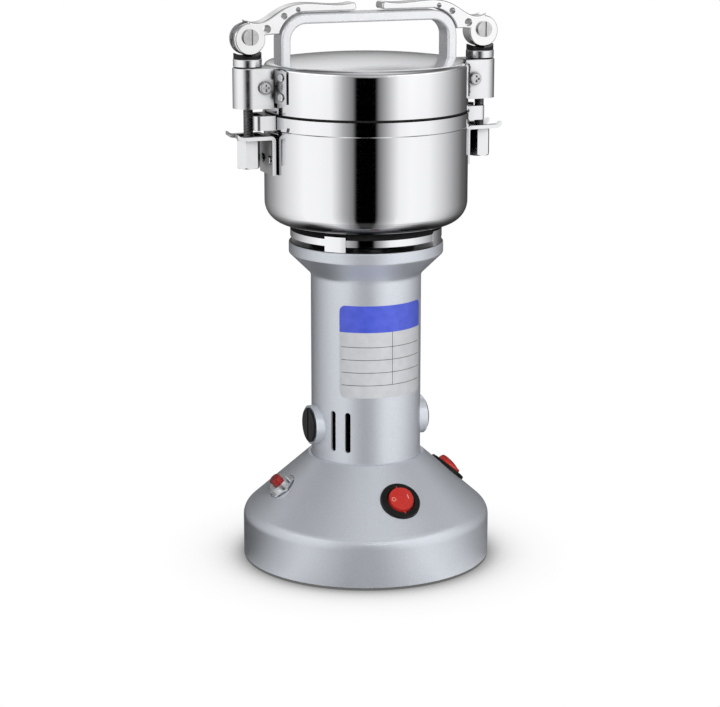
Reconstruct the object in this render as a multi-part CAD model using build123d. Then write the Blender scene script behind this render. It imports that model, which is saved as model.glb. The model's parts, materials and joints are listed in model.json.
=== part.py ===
from build123d import *
import os
from math import cos, degrees, hypot, radians, sin, sqrt, tan

# A small high-speed grain and spice grinder, free-standing, in millimetres.
# +Z is up, the origin is the middle of the footprint on the table, the front switch faces -Y,
# and the two lid clamps stand on +X and -X.

# Shared values
overrun = 2.0
running_gap = 0.05
slip_gap = 0.2
free_gap = 0.4
clamp_offset = 66.5

# Base casting
base_radius = 68.0
base_rim_height = 1.5
base_shoulder_height = 26.0
base_shoulder_round = 8.0
base_height = 58.0
base_neck_radius = 32.0
base_wall = 3.0
neck_seat_depth = 4.0
neck_shelf_thickness = 4.0
neck_shelf_bore = 20.0

# Base plate and feet
plate_bottom = 2.0
plate_thickness = 2.5
plate_vent_radius = 3.0
plate_vent_circle = 24.0
plate_vent_count = 8
foot_radius = 8.0
foot_inset = 15.0
foot_stem_radius = 3.0
foot_cap_radius = 4.5
foot_cap_height = 1.6
foot_round = 1.0
foot_count = 4
plate_boss_radius = 4.5
plate_boss_inset = 16.0
plate_screw_radius = 2.0
plate_screw_head_radius = 3.8
plate_screw_head_height = 1.2
plate_screw_length = 14.0

# Motor column
column_radius = 30.0
column_wall = 3.0
column_flange_bore = 22.0
column_flange_thickness = 3.0
column_top = 159.0
collar_radius = 41.85
collar_bottom = 170.6
collar_top = 176.8
collar_bore = 32.0
collar_relief_start = 162.0
collar_edge_round = 1.0
flare_round = 4.0
column_screw_circle = 24.4
column_screw_radius = 2.0
column_screw_head_radius = 3.6
column_screw_head_height = 2.4

# Vent slots in the column
vent_slot_width = 3.2
vent_slot_height = 22.5
vent_slot_drop = 11.5
vent_slot_angles = (-41.0, -58.0)

# Brush bosses, caps, holders and brushes
brush_lift = 8.9
brush_boss_radius = 10.75
brush_boss_reach = 33.0
brush_cap_radius = 9.4
brush_cap_reach = 34.2
brush_cap_thread_radius = 7.4
brush_cap_depth = 4.5
brush_cap_slot = 1.6
brush_cap_slot_depth = 0.9
brush_cap_round = 0.5
holder_radius = 6.4
holder_start = 14.0
brush_width = 5.0
brush_depth = 8.0
brush_length = 12.0

# Lower bearing bracket and bearings
bracket_thickness = 3.5
bracket_hub_radius = 12.0
bracket_hub_height = 10.0
lower_bearing_radius = 9.5
lower_bearing_height = 6.0
upper_bearing_radius = 11.0
upper_bearing_height = 7.0
bearing_shield_recess = 0.5
bearing_ring_width = 1.8

# Stator and rotor
stator_lift = 20.5
stator_height = 38.0
stator_bore = 15.4
stator_window_inner = 18.0
stator_window_outer = 23.0
stator_window_start_angle = 20.0
stator_window_end_angle = 50.0
coil_end_height = 7.0
coil_gap = 0.4
armature_radius = 14.6
armature_slot_count = 10
armature_slot_width = 2.2
armature_slot_depth = 6.0
winding_radius = 12.4
winding_height = 7.0
winding_round = 2.5
commutator_radius = 11.0
commutator_drop = 7.5
commutator_height = 15.0
commutator_slit_count = 10
commutator_slit_width = 0.7
commutator_slit_depth = 1.2
riser_radius = 12.0
riser_height = 2.0
fan_radius = 24.0
fan_lift = 10.0
fan_height = 11.0
fan_disc = 1.6
fan_hub_radius = 7.5
fan_blade_count = 9
fan_blade_width = 1.4
fan_blade_lean = 25.0
shaft_radius = 4.0
shaft_tail_radius = 3.0
shaft_tail_gap = 1.0
shaft_thread_radius = 3.5

# Polished plate and posts under the bowl
post_width = 12.0
post_inner = 31.0
post_count = 4
post_rise = 1.6
deck_bottom = 179.6
deck_top = 183.3
deck_radius = 41.0
deck_hub_radius = 14.5
deck_hub_drop = 8.0
deck_shaft_hole = 6.5
deck_lip = 2.0
cushion_radius = 41.0
cushion_bore = 24.0

# Bowl
bowl_bottom = 187.0
bowl_radius = 54.7
bowl_wall = 1.2
bowl_floor = 1.6
bowl_corner = 12.0
rim_bottom = 239.7
rim_top = 246.8
rim_radius = 55.3
rim_bore = 52.6
bowl_screw_circle = 34.6
bowl_screw_radius = 2.0
bowl_screw_head_radius = 3.4
bowl_screw_head_height = 1.8
bowl_screw_length = 18.0
seal_radius = 9.0
seal_flange_radius = 12.5
seal_flange_height = 1.8
seal_depth = 3.4

# Blades
blade_start = 194.6
blade_thickness = 2.0
blade_spacing = 7.0
blade_hub_radius = 9.0
blade_width = 15.0
blade_tip_width = 9.0
blade_bevel = 4.0
blade_reaches = (46.0, 43.0, 35.0)
blade_bend_share = 0.5
blade_lifts = (-1.0, 2.0, 8.0)
blade_turn_angles = (10.0, 70.0, 130.0)
blade_sweep_share = 0.35
blade_nut_across = 13.0
blade_nut_height = 6.5
blade_nut_dome = 2.0

# Lid and gasket
gasket_height = 1.1
gasket_outer = 54.2
lid_radius = 54.5
lid_wall = 1.2
lid_side_top = 272.8
lid_crown = 276.8
lid_edge_round = 3.4
lid_flange_inner = 50.8
lid_flange_thickness = 1.6
lid_spigot_depth = 5.0

# Handle
handle_reach = 50.0
handle_thickness = 5.3
handle_width = 13.0
handle_top = 299.3
handle_corner = 14.0
handle_edge_round = 1.2
handle_screw_radius = 1.5
handle_screw_head_radius = 2.8
handle_screw_head_height = 2.0
handle_screw_length = 10.0
handle_screw_pitch = 7.0

# Clamp lug, bracket and screw on the lid
lug_thickness = 0.8
lug_half_angle = 20.0
lug_bottom = 254.0
lug_top = 271.0
lug_tongue_thickness = 6.0
lug_tongue_reach = 62.6
lug_tongue_margin = 2.0
rivet_radius = 1.4
rivet_head_radius = 2.2
rivet_head_height = 1.0
rivet_angle = 15.5
rivet_inset = 3.4
bracket_radius = 8.0
bracket_bottom = 251.0
bracket_top = 272.3
bracket_wall = 1.8
bracket_edge_round = 0.8
cross_screw_offset = 60.0
cross_screw_height = 262.0
cross_screw_radius = 2.0
cross_screw_head_radius = 3.2
cross_screw_head_height = 2.2
cross_screw_slot = 1.2
cross_screw_arm_share = 0.6
cross_nut_height = 2.4

# Cam stack, draw rod and nut
washer_radius = 7.6
washer_bottom = 272.8
washer_height = 4.0
bush_radius = 5.0
saddle_radius = 7.35
saddle_low = 278.1
saddle_hollow_radius = 16.0
saddle_edge_round = 0.6
pivot_height = 288.0
cam_radius = 8.4
cam_throw = 1.0
rod_radius = 2.5
rod_bottom = 220.0
rod_eye_radius = 5.2
rod_eye_thickness = 4.6
rod_end_chamfer = 0.8
nut_across = 11.0
nut_bottom = 219.4
nut_top = 234.6
nut_chamfer = 0.8

# Cam lever
lever_thickness = 10.0
lever_slot = 5.4
lever_reach = 59.5
lever_rise = 16.8
lever_gap = 0.9
lever_under_angle = 14.0
lever_tip_round = 1.6
lever_edge_round = 0.8
lever_top_shares = ((0.14, 0.49), (0.27, 0.76), (0.36, 0.91), (0.47, 0.985), (0.74, 0.94), (0.985, 1.0))
lever_root_shares = (0.2, 0.06)
lever_shoulder_shares = (-0.02, 1.14)
lever_hole_shares = ((0.155, 0.235, 0.26), (0.315, 0.615, 0.21), (0.445, 0.8, 0.16))
pin_radius = 2.0
pin_head_radius = 4.2
pin_head_height = 1.6
pin_tail_radius = 3.8
pin_slot = 1.8
pin_slot_depth = 0.8

# Catch bracket and rim guide on the bowl
catch_thickness = 2.0
catch_width = 20.0
catch_bottom = 216.0
catch_top = 236.8
catch_reach = 73.4
catch_flare_length = 2.3
catch_flare_rise = 1.6
catch_bend_round = 2.6
guide_bottom = 239.9
guide_top = 247.4
guide_length = 10.7
guide_corner = 3.0
catch_rivet_drop = 13.0
catch_rivet_pitch = 11.0

# Round rocker switches, set square to the cone
switch_face_share = 0.5194
switch_bezel_radius = 10.9
switch_bezel_height = 2.4
switch_bezel_round = 0.9
switch_barrel_radius = 9.4
switch_barrel_depth = 14.0
switch_terminal_width = 4.8
switch_terminal_thickness = 0.8
switch_terminal_length = 7.0
switch_terminal_pitch = 8.0
rocker_radius = 7.2
rocker_depth = 5.0
rocker_pivot_height = 1.4
rocker_face_height = 2.6
rocker_tilt = 10.0
trunnion_radius = 1.0
trunnion_length = 1.0
spot_face_depth = 1.0

# Overload breaker, set square to the cone
breaker_collar_radius = 5.5
breaker_collar_height = 5.0
breaker_nut_across = 14.0
breaker_nut_height = 2.2
breaker_body_radius = 8.0
breaker_body_depth = 20.0
button_radius = 3.3
button_height = 3.4
button_travel = 3.0
button_stem_depth = 4.0
button_round = 0.8

# Cord gland on the back of the cone
gland_radius = 8.0
gland_height = 6.0
gland_bore = 3.6
gland_stem_radius = 6.5
gland_stem_depth = 9.0
gland_nut_radius = 9.5
gland_nut_height = 3.0
gland_taper_share = 0.75

# Derived places
foot_circle = base_radius - foot_inset
plate_boss_circle = base_radius - plate_boss_inset
neck_bore = column_radius + slip_gap
neck_floor = base_height - neck_seat_depth
shelf_bottom = neck_floor - neck_shelf_thickness
column_bore = column_radius - column_wall
cone_run = base_radius - base_neck_radius
cone_rise = base_height - base_shoulder_height
cone_length = hypot(cone_run, cone_rise)
cone_out = cone_rise / cone_length
cone_up = cone_run / cone_length
bracket_seat = neck_floor + column_flange_thickness
brush_height = bracket_seat + bracket_hub_height + brush_lift
vent_slot_bottom = brush_height - vent_slot_drop
commutator_bottom = brush_height - commutator_drop
stator_bottom = brush_height + stator_lift
fan_bottom = stator_bottom + stator_height + fan_lift
bowl_inner = bowl_radius - bowl_wall
bowl_floor_top = bowl_bottom + bowl_floor
gasket_bottom = rim_top + slip_gap
lid_bottom = gasket_bottom + gasket_height
crown_rise = lid_crown - lid_side_top
crown_radius = (lid_radius ** 2 + crown_rise ** 2) / (2 * crown_rise)
crown_centre = lid_crown - crown_radius
saddle_bottom = washer_bottom + washer_height
handle_inner_top = handle_top - handle_thickness
handle_centre = handle_reach - handle_thickness / 2
slot_half = nut_across / 2 + free_gap
slot_start = clamp_offset - nut_across / sqrt(3) - free_gap
post_top = deck_top + post_rise
guide_reach = rim_radius + guide_length
catch_flare_reach = catch_reach + catch_flare_length
fork_end = max(catch_flare_reach, guide_reach) + overrun


def drum(radius, bottom, top):
    """An upright cylinder between two heights."""
    return Pos(0, 0, bottom) * Cylinder(radius, top - bottom, align=(Align.CENTER, Align.CENTER, Align.MIN))


def tube(outer, inner, bottom, top):
    """An upright ring between two heights."""
    return drum(outer, bottom, top) - drum(inner, bottom - overrun, top + overrun)


def turned(points, corners=()):
    """A solid of revolution about Z from (radius, height) points; corners are (index, radius) pairs."""
    sketch = make_face(Polyline(*points, close=True))
    for index, radius in corners:
        corner = sketch.vertices().sort_by_distance(Vector(*points[index]))[0]
        sketch = fillet(corner, radius)
    return revolve(Plane.XZ * sketch, axis=Axis.Z)


def spread(shape, radius, count, start_angle=0):
    """Copies of a shape on an even circle about Z."""
    step = 360 / count
    return [Rot(0, 0, start_angle + step * i) * Pos(radius, 0, 0) * shape for i in range(count)]


def along_y(radius, x, z, y0, y1):
    """A cylinder along Y through (x, z)."""
    body = Cylinder(radius, y1 - y0, align=(Align.CENTER, Align.CENTER, Align.MIN))
    return Pos(x, y0, z) * Rot(-90, 0, 0) * body


def along_x(radius, z, x0, x1):
    """A cylinder along X at one height."""
    body = Cylinder(radius, x1 - x0, align=(Align.CENTER, Align.CENTER, Align.MIN))
    return Pos(x0, 0, z) * Rot(0, 90, 0) * body


def block(x0, x1, y0, y1, z0, z1):
    """A box between two corners."""
    return Pos((x0 + x1) / 2, (y0 + y1) / 2, (z0 + z1) / 2) * Box(x1 - x0, y1 - y0, z1 - z0)


def mirrored(shape):
    """The same shape on the other clamp's side."""
    return mirror(shape, about=Plane.YZ)


def group(shapes):
    """Separate solids kept in one node."""
    solids = [solid for shape in shapes for solid in shape.solids()]
    return Compound(children=solids)


def cone_plane(angle):
    """A plane on the base cone, square to it, at an angle about Z from the front."""
    turn = radians(angle)
    outward = Vector(sin(turn), -cos(turn), 0)
    sideways = Vector(cos(turn), sin(turn), 0)
    radius = base_radius - switch_face_share * cone_run
    height = base_shoulder_height + switch_face_share * cone_rise
    normal = outward * cone_out + Vector(0, 0, cone_up)
    return Plane(origin=outward * radius + Vector(0, 0, height), x_dir=sideways, z_dir=normal)


front_plane = cone_plane(0)
right_plane = cone_plane(90)
back_plane = cone_plane(180)
left_plane = cone_plane(270)


def on_cone(plane, shape):
    """Sets a shape, drawn on its spot face, on the base cone."""
    return plane * Pos(0, 0, -spot_face_depth) * shape


def base_shell():
    inner_shift = base_wall / cone_out
    inner_run = cone_run / cone_rise
    shelf_meets = base_neck_radius + (base_height - shelf_bottom) * inner_run - inner_shift
    inner_wall = base_radius - base_wall
    inner_shoulder = base_height - (inner_wall + inner_shift - base_neck_radius) / inner_run
    profile = [
        (base_radius, base_rim_height),
        (base_radius, base_shoulder_height),
        (base_neck_radius, base_height),
        (neck_bore, base_height),
        (neck_bore, neck_floor),
        (neck_shelf_bore, neck_floor),
        (neck_shelf_bore, shelf_bottom),
        (shelf_meets, shelf_bottom),
        (inner_wall, inner_shoulder),
        (inner_wall, base_rim_height),
    ]
    inner_round = base_shoulder_round - base_wall
    shell = turned(profile, [(1, base_shoulder_round), (8, inner_round)])
    envelope = turned([(0, plate_bottom + plate_thickness), (inner_wall, plate_bottom + plate_thickness),
                       (inner_wall, inner_shoulder), (shelf_meets, shelf_bottom), (0, shelf_bottom)])
    boss = drum(plate_boss_radius, plate_bottom + plate_thickness, base_height)
    for pillar in spread(boss, plate_boss_circle, foot_count, 45):
        shell += pillar & envelope
    pilot = drum(plate_screw_radius, 0, plate_bottom + plate_screw_length + overrun)
    for hole in spread(pilot, plate_boss_circle, foot_count, 45):
        shell -= hole
    for hole in spread(drum(column_screw_radius, 0, base_height), column_screw_circle, post_count, 45):
        shell -= hole
    spot = drum(switch_bezel_radius + slip_gap, 0, base_wall)
    barrel = drum(switch_barrel_radius + slip_gap, -base_wall - overrun, base_wall)
    for plane in (front_plane, right_plane):
        shell -= on_cone(plane, spot + barrel)
    breaker_spot = drum(breaker_nut_across / sqrt(3) + slip_gap, 0, base_wall)
    breaker_hole = drum(breaker_collar_radius + slip_gap, -base_wall - overrun, base_wall)
    shell -= on_cone(left_plane, breaker_spot + breaker_hole)
    gland_spot = drum(gland_radius + slip_gap, 0, base_wall)
    gland_hole = drum(gland_stem_radius + slip_gap, -base_wall - overrun, base_wall)
    shell -= on_cone(back_plane, gland_spot + gland_hole)
    return shell


def base_plate():
    radius = base_radius - base_wall - slip_gap
    plate = drum(radius, plate_bottom, plate_bottom + plate_thickness)
    for hole in spread(drum(foot_stem_radius + slip_gap, 0, base_height), foot_circle, foot_count):
        plate -= hole
    for hole in spread(drum(plate_screw_radius + slip_gap, 0, base_height), plate_boss_circle, foot_count, 45):
        plate -= hole
    for hole in spread(drum(plate_vent_radius, 0, base_height), plate_vent_circle, plate_vent_count):
        plate -= hole
    return plate


def rubber_feet():
    plate_top = plate_bottom + plate_thickness
    foot = turned([(0, 0), (foot_radius, 0), (foot_radius, plate_bottom), (foot_stem_radius, plate_bottom),
                   (foot_stem_radius, plate_top), (foot_cap_radius, plate_top),
                   (foot_stem_radius, plate_top + foot_cap_height), (0, plate_top + foot_cap_height)],
                  [(1, foot_round)])
    return group(spread(foot, foot_circle, foot_count))


def base_plate_screws():
    head = drum(plate_screw_head_radius, plate_bottom - plate_screw_head_height, plate_bottom)
    screw = head + drum(plate_screw_radius - running_gap, plate_bottom, plate_bottom + plate_screw_length)
    return group(spread(screw, plate_boss_circle, foot_count, 45))


def cord_gland():
    nut = drum(gland_nut_radius, -base_wall - gland_nut_height, -base_wall)
    stem = drum(gland_stem_radius, -gland_stem_depth, 0)
    cap = turned([(0, 0), (gland_radius, 0), (gland_radius, gland_height / 2),
                  (gland_radius * gland_taper_share, gland_height), (0, gland_height)])
    gland = nut + stem + cap - drum(gland_bore, -gland_stem_depth - overrun, gland_height + overrun)
    return on_cone(back_plane, gland)


def vent_slots():
    """Obround cutters for the vent slots, on one side and half a turn round."""
    straight = vent_slot_height - vent_slot_width
    middle = vent_slot_bottom + vent_slot_height / 2
    cutter = extrude(Plane.XZ * SlotCenterToCenter(straight, vent_slot_width, rotation=90),
                     amount=column_radius + overrun)
    return [Rot(0, 0, angle + half) * Pos(0, 0, middle) * cutter
            for angle in vent_slot_angles for half in (0, 180)]


def motor_housing():
    profile = [
        (column_radius, neck_floor),
        (column_radius, column_top),
        (collar_radius, collar_bottom),
        (collar_radius, collar_top),
        (collar_bore, collar_top),
        (column_bore, collar_relief_start),
        (column_bore, bracket_seat),
        (column_flange_bore, bracket_seat),
        (column_flange_bore, neck_floor),
    ]
    housing = turned(profile, [(1, flare_round), (2, collar_edge_round), (3, collar_edge_round)])
    bore = drum(column_bore, neck_floor, collar_top)
    for x0, x1 in ((column_bore, brush_boss_reach), (-brush_boss_reach, -column_bore)):
        boss = along_x(brush_boss_radius, brush_height, min(x0, x1), max(x0, x1))
        housing += boss - bore
        housing -= along_x(holder_radius + slip_gap, brush_height, x0 - overrun, x1 + overrun)
    thread = brush_cap_thread_radius + slip_gap
    thread_floor = brush_boss_reach - brush_cap_depth - slip_gap
    housing -= along_x(thread, brush_height, thread_floor, brush_boss_reach + overrun)
    housing -= along_x(thread, brush_height, -brush_boss_reach - overrun, -thread_floor)
    for cutter in vent_slots():
        housing -= cutter - drum(column_bore - column_wall, neck_floor, collar_top)
    for hole in spread(drum(column_screw_radius, 0, bracket_seat + overrun), column_screw_circle, post_count, 45):
        housing -= hole
    hole = drum(bowl_screw_radius, bowl_floor_top - bowl_screw_length - overrun, collar_top + overrun)
    for cutter in spread(hole, bowl_screw_circle, post_count, 45):
        housing -= cutter
    return housing


def column_screws():
    head = drum(column_screw_head_radius, shelf_bottom - column_screw_head_height, shelf_bottom)
    shank = drum(column_screw_radius - running_gap, shelf_bottom, bracket_seat + bracket_thickness)
    return group(spread(head + shank, column_screw_circle, post_count, 45))


def lower_bracket():
    top = bracket_seat + bracket_thickness
    hub_top = bracket_seat + bracket_hub_height
    plate = drum(column_bore - slip_gap, bracket_seat, top)
    plate += drum(bracket_hub_radius, bracket_seat, hub_top)
    plate -= drum(lower_bearing_radius + running_gap, hub_top - lower_bearing_height, hub_top + overrun)
    plate -= drum(shaft_tail_radius + free_gap, bracket_seat - overrun, hub_top)
    for hole in spread(drum(column_screw_radius, 0, top + overrun), column_screw_circle, post_count, 45):
        plate -= hole
    vent = drum(plate_vent_radius, bracket_seat - overrun, top + overrun)
    vent_circle = (bracket_hub_radius + column_flange_bore) / 2
    for hole in spread(vent, vent_circle, post_count):
        plate -= hole
    return plate


def ball_bearing(radius, bore, bottom, height):
    """A shielded ball bearing as one ring with its shields set in from the faces."""
    top = bottom + height
    shield_out = radius - bearing_ring_width
    shield_in = bore + bearing_ring_width
    return turned([(bore, bottom), (shield_in, bottom), (shield_in, bottom + bearing_shield_recess),
                   (shield_out, bottom + bearing_shield_recess), (shield_out, bottom), (radius, bottom),
                   (radius, top), (shield_out, top), (shield_out, top - bearing_shield_recess),
                   (shield_in, top - bearing_shield_recess), (shield_in, top), (bore, top)])


def ball_bearings():
    low = bracket_seat + bracket_hub_height - lower_bearing_height
    high = deck_top - deck_lip - upper_bearing_height
    lower = ball_bearing(lower_bearing_radius, shaft_tail_radius + running_gap, low, lower_bearing_height)
    upper = ball_bearing(upper_bearing_radius, shaft_radius + running_gap, high, upper_bearing_height)
    return group([lower, upper])


def sector(inner, outer, start, end, bottom, top):
    """A part of a ring between two angles about Z."""
    mid = (start + end) / 2
    ends = [Vector(cos(radians(a)), sin(radians(a)), 0) for a in (start, mid, end)]
    outside = ThreePointArc(*[e * outer for e in ends])
    inside = ThreePointArc(*[e * inner for e in reversed(ends)])
    sides = [Line(outside @ 1, inside @ 0), Line(inside @ 1, outside @ 0)]
    face = make_face([outside, inside] + sides)
    return extrude(Pos(0, 0, bottom) * face, amount=top - bottom)


def stator_core():
    top = stator_bottom + stator_height
    core = tube(column_bore - slip_gap, stator_bore, stator_bottom, top)
    start, end = stator_window_start_angle, stator_window_end_angle
    for low, high in ((start, end), (180 - end, 180 - start), (180 + start, 180 + end), (360 - end, 360 - start)):
        core -= sector(stator_window_inner, stator_window_outer, low, high, stator_bottom - overrun, top + overrun)
    return core


def field_coils():
    top = stator_bottom + stator_height
    inner = stator_window_inner + coil_gap
    outer = stator_window_outer - coil_gap
    margin = degrees(coil_gap / inner)
    start = stator_window_start_angle + margin
    end = stator_window_end_angle - margin
    above = sector(inner, outer, start, 180 - start, top + coil_gap, top + coil_end_height)
    below_top = stator_bottom - coil_gap
    below = sector(inner, outer, start, 180 - start, stator_bottom - coil_end_height, below_top)
    limb_right = sector(inner, outer, start, end, below_top, top + coil_gap)
    limb_left = sector(inner, outer, 180 - end, 180 - start, below_top, top + coil_gap)
    coil = above + below + limb_right + limb_left
    return group([coil, Rot(0, 0, 180) * coil])


def brush_holders():
    end = brush_boss_reach - brush_cap_depth - slip_gap
    holder = along_x(holder_radius, brush_height, holder_start, end)
    half_width = brush_width / 2 + slip_gap
    half_depth = brush_depth / 2 + slip_gap
    holder -= block(holder_start - overrun, end + overrun, -half_width, half_width,
                    brush_height - half_depth, brush_height + half_depth)
    return group([mirrored(holder), holder])


def carbon_brushes():
    start = commutator_radius + slip_gap
    brush = block(start, start + brush_length, -brush_width / 2, brush_width / 2,
                  brush_height - brush_depth / 2, brush_height + brush_depth / 2)
    return group([mirrored(brush), brush])


def brush_caps():
    head = along_x(brush_cap_radius, brush_height, brush_boss_reach, brush_cap_reach)
    head = fillet(head.edges().group_by(Axis.X)[-1], brush_cap_round)
    thread = along_x(brush_cap_thread_radius, brush_height, brush_boss_reach - brush_cap_depth, brush_boss_reach)
    slot = block(brush_cap_reach - brush_cap_slot_depth, brush_cap_reach + overrun, -brush_cap_slot / 2,
                 brush_cap_slot / 2, brush_height - brush_boss_radius, brush_height + brush_boss_radius)
    cap = head + thread - slot
    return group([mirrored(cap), cap])


def motor_shaft():
    tail_bottom = bracket_seat + shaft_tail_gap
    tail_top = bracket_seat + bracket_hub_height + slip_gap
    stack_top = blade_start + blade_spacing * 2 + blade_thickness
    return turned([(0, tail_bottom), (shaft_tail_radius, tail_bottom), (shaft_tail_radius, tail_top),
                   (shaft_radius, tail_top), (shaft_radius, stack_top), (shaft_thread_radius, stack_top),
                   (shaft_thread_radius, stack_top + blade_nut_height), (0, stack_top + blade_nut_height)])


def armature_core():
    top = stator_bottom + stator_height
    core = tube(armature_radius, shaft_radius, stator_bottom, top)
    slot = block(armature_radius - armature_slot_depth, armature_radius + overrun, -armature_slot_width / 2,
                 armature_slot_width / 2, stator_bottom - overrun, top + overrun)
    for cutter in spread(slot, 0, armature_slot_count):
        core -= cutter
    return core


def armature_windings():
    top = stator_bottom + stator_height
    upper = tube(winding_radius, shaft_radius, top, top + winding_height)
    upper = fillet(upper.edges().group_by(Axis.Z)[-1].sort_by(SortBy.RADIUS)[-1], winding_round)
    lower = tube(winding_radius, shaft_radius, stator_bottom - winding_height, stator_bottom)
    lower = fillet(lower.edges().group_by(Axis.Z)[0].sort_by(SortBy.RADIUS)[-1], winding_round)
    return group([lower, upper])


def commutator():
    top = commutator_bottom + commutator_height
    ring = tube(commutator_radius, shaft_radius, commutator_bottom, top)
    ring += tube(riser_radius, shaft_radius, top, top + riser_height)
    slit = block(commutator_radius - commutator_slit_depth, riser_radius + overrun, -commutator_slit_width / 2,
                 commutator_slit_width / 2, commutator_bottom - overrun, top + riser_height + overrun)
    for cutter in spread(slit, 0, commutator_slit_count):
        ring -= cutter
    return ring


def cooling_fan():
    top = fan_bottom + fan_height
    fan = drum(fan_radius, fan_bottom, fan_bottom + fan_disc) + drum(fan_hub_radius, fan_bottom, top)
    blade = block(0, fan_radius - fan_hub_radius, -fan_blade_width / 2, fan_blade_width / 2,
                  fan_bottom, top)
    limit = drum(fan_radius, fan_bottom, top)
    for i in range(fan_blade_count):
        turn = Rot(0, 0, 360 / fan_blade_count * i)
        fan += turn * Pos(fan_hub_radius - fan_blade_width, 0, 0) * Rot(0, 0, fan_blade_lean) * blade & limit
    return fan - drum(shaft_radius, fan_bottom - overrun, top + overrun)


def posts(clearance):
    """The upright posts that carry the plate on the collar, grown by a clearance."""
    top = post_top + clearance
    ring = tube(collar_radius, post_inner - clearance, collar_top, top)
    half = post_width / 2 + clearance
    bar = block(0, collar_radius + overrun, -half, half, collar_top, top)
    return [post & ring for post in spread(bar, 0, post_count, 45)]


def top_plate():
    deck = drum(deck_radius, deck_bottom, deck_top) + drum(deck_hub_radius, deck_top - deck_hub_drop - deck_lip,
                                                            deck_top)
    for post in posts(0):
        deck += post
    seat_bottom = deck_top - deck_lip - upper_bearing_height
    deck -= drum(upper_bearing_radius + running_gap, deck_top - deck_hub_drop - deck_lip - overrun,
                 seat_bottom + upper_bearing_height)
    deck -= drum(deck_shaft_hole, deck_bottom, deck_top + overrun)
    for hole in spread(drum(bowl_screw_radius + slip_gap, collar_bottom, bowl_bottom + overrun),
                       bowl_screw_circle, post_count, 45):
        deck -= hole
    return deck


def bowl_cushion():
    """A rubber ring between plate and bowl, notched for the posts and pierced for the bowl's screws."""
    ring = tube(cushion_radius, cushion_bore, deck_top, bowl_bottom)
    for post in posts(slip_gap):
        ring -= post
    for hole in spread(drum(bowl_screw_radius + slip_gap, deck_top, bowl_bottom + overrun), bowl_screw_circle,
                       post_count, 45):
        ring -= hole
    return ring


def bowl():
    step = rim_radius - bowl_radius
    profile = [
        (0, bowl_bottom), (bowl_radius, bowl_bottom), (bowl_radius, rim_bottom - step),
        (rim_radius, rim_bottom), (rim_radius, rim_top), (rim_bore, rim_top),
        (bowl_inner, rim_bottom), (bowl_inner, bowl_floor_top), (0, bowl_floor_top),
    ]
    shell = turned(profile, [(1, bowl_corner), (7, bowl_corner - bowl_wall)])
    shell -= drum(seal_radius + running_gap, bowl_bottom - overrun, bowl_floor_top + overrun)
    for hole in spread(drum(bowl_screw_radius + slip_gap, bowl_bottom - overrun, bowl_floor_top + overrun),
                       bowl_screw_circle, post_count, 45):
        shell -= hole
    return shell


def bowl_screws():
    head = drum(bowl_screw_head_radius, bowl_floor_top, bowl_floor_top + bowl_screw_head_height)
    shank = drum(bowl_screw_radius - running_gap, bowl_floor_top - bowl_screw_length, bowl_floor_top)
    return group(spread(head + shank, bowl_screw_circle, post_count, 45))


def shaft_seal():
    flange_top = bowl_floor_top + seal_flange_height
    return turned([(shaft_radius + running_gap, bowl_floor_top - seal_depth),
                   (seal_radius, bowl_floor_top - seal_depth), (seal_radius, bowl_floor_top),
                   (seal_flange_radius, bowl_floor_top),
                   (seal_flange_radius - seal_flange_height, flange_top),
                   (shaft_radius + running_gap, flange_top)])


def blade(index):
    """A two-ended blade: bent ends, a swept outline and one ground edge on each arm."""
    reach = blade_reaches[index]
    lift = blade_lifts[index]
    bottom = blade_start + blade_spacing * index
    bend = reach * blade_bend_share
    low = [(-reach, lift), (-bend, 0), (bend, 0), (reach, lift)]
    high = [(x, z + blade_thickness) for x, z in reversed(low)]
    strip = extrude(Plane.XZ * make_face(Polyline(*low, *high, close=True)), amount=blade_width, both=True)
    sweep = blade_tip_width * blade_sweep_share
    half = blade_width / 2
    tip = blade_tip_width / 2
    arm = make_face([Line((0, half), (bend, half)), ThreePointArc((bend, half), ((bend + reach) / 2, tip),
                                                                  (reach, -sweep)),
                     Line((reach, -sweep), (reach - sweep, -sweep - tip)),
                     Line((reach - sweep, -sweep - tip), (0, -half)), Line((0, -half), (0, half))])
    outline = extrude(arm + Rot(0, 0, 180) * arm, amount=overrun + abs(lift) + blade_thickness, both=True)
    piece = strip & outline
    wedge = make_face(Polyline((half - blade_bevel, blade_thickness), (half + overrun, blade_thickness),
                               (half + overrun, -overrun), (half, 0), close=True))
    cutter = extrude(Plane.YZ * wedge, amount=bend)
    for turn in (0, 180):
        piece -= Rot(0, 0, turn) * Pos(blade_hub_radius, 0, 0) * cutter
    piece += drum(blade_hub_radius, 0, blade_thickness)
    piece -= drum(shaft_radius + running_gap, -overrun, blade_thickness + overrun)
    return Pos(0, 0, bottom) * Rot(0, 0, blade_turn_angles[index]) * piece


def blade_spacers():
    outer = blade_hub_radius
    inner = shaft_radius + running_gap
    first = tube(outer, inner, bowl_floor_top + seal_flange_height + free_gap, blade_start)
    between = [tube(outer, inner, blade_start + blade_spacing * i + blade_thickness,
                    blade_start + blade_spacing * (i + 1)) for i in range(len(blade_reaches) - 1)]
    return group([first] + between)


def blade_nut():
    bottom = blade_start + blade_spacing * (len(blade_reaches) - 1) + blade_thickness
    top = bottom + blade_nut_height
    hexagon = RegularPolygon(blade_nut_across / 2, 6, major_radius=False)
    nut = extrude(Pos(0, 0, bottom) * hexagon, amount=top - bottom)
    dome = turned([(0, top), (blade_nut_across / 2, top), (shaft_thread_radius, top + blade_nut_dome),
                   (0, top + blade_nut_dome)])
    return nut + dome - drum(shaft_thread_radius, bottom - overrun, top)


def crown_height(radius, offset=0):
    """The height of the lid's dome, set in by an offset, at a distance from its axis."""
    return crown_centre + sqrt((crown_radius - offset) ** 2 - radius ** 2)


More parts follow.
